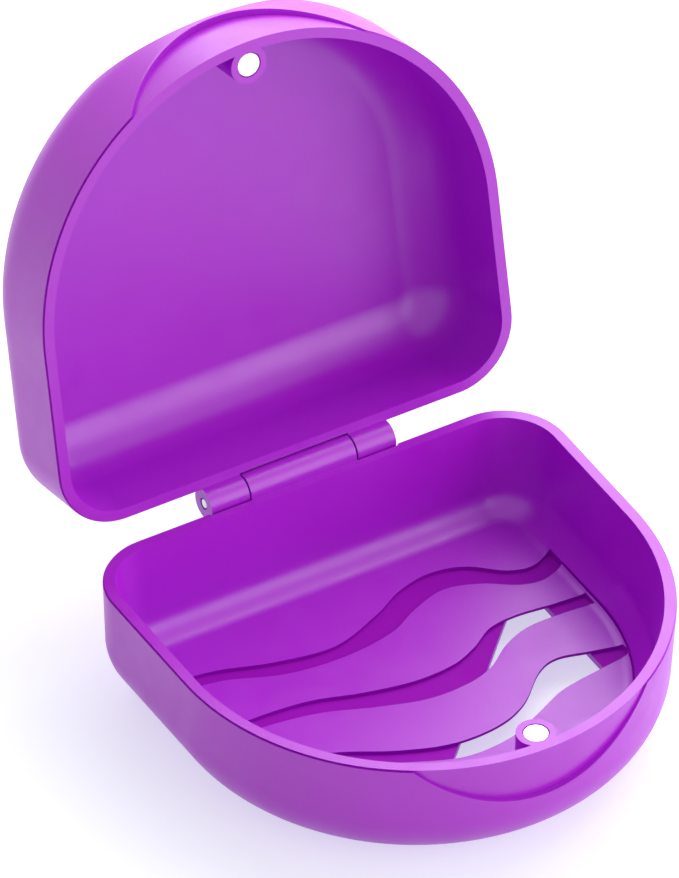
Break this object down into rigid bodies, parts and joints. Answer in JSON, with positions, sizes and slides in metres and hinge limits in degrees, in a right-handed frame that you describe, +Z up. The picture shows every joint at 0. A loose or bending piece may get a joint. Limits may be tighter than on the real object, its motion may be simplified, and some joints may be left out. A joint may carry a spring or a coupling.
{
  "type": "orthodontic retainer case",
  "caption": "D-shaped hinged retainer case: two rounded moulded shells on a pinned back hinge, with magnets and thumb recesses at the front and wavy vents in the floor.",
  "frame": {"origin": "middle of the base's footprint, hinge left out, on the flat underside", "axes": "+Z up out of the base, -Y towards the round front with the thumb recess, +Y towards the hinge, +X to the right seen from the front; the lid stands open at rest"},
  "size_m": [0.08, 0.1062, 0.0926],
  "materials": {
    "shell": "satin moulded purple plastic",
    "pin": "drawn steel wire",
    "magnet": "nickel plated"
  },
  "bodies": {
    "base": {"base_shell": "shell", "hinge_pin": "pin", "base_magnet": "magnet"},
    "lid": {"lid_shell": "shell", "lid_magnet": "magnet"}
  },
  "joints": [
    {"name": "lid_hinge", "type": "hinge", "parent": "base", "child": "lid", "pos_m": [0, 0.03815, 0.0207], "axis": [-1, 0, 0], "range_deg": [-103.2, 71.8]}
  ]
}
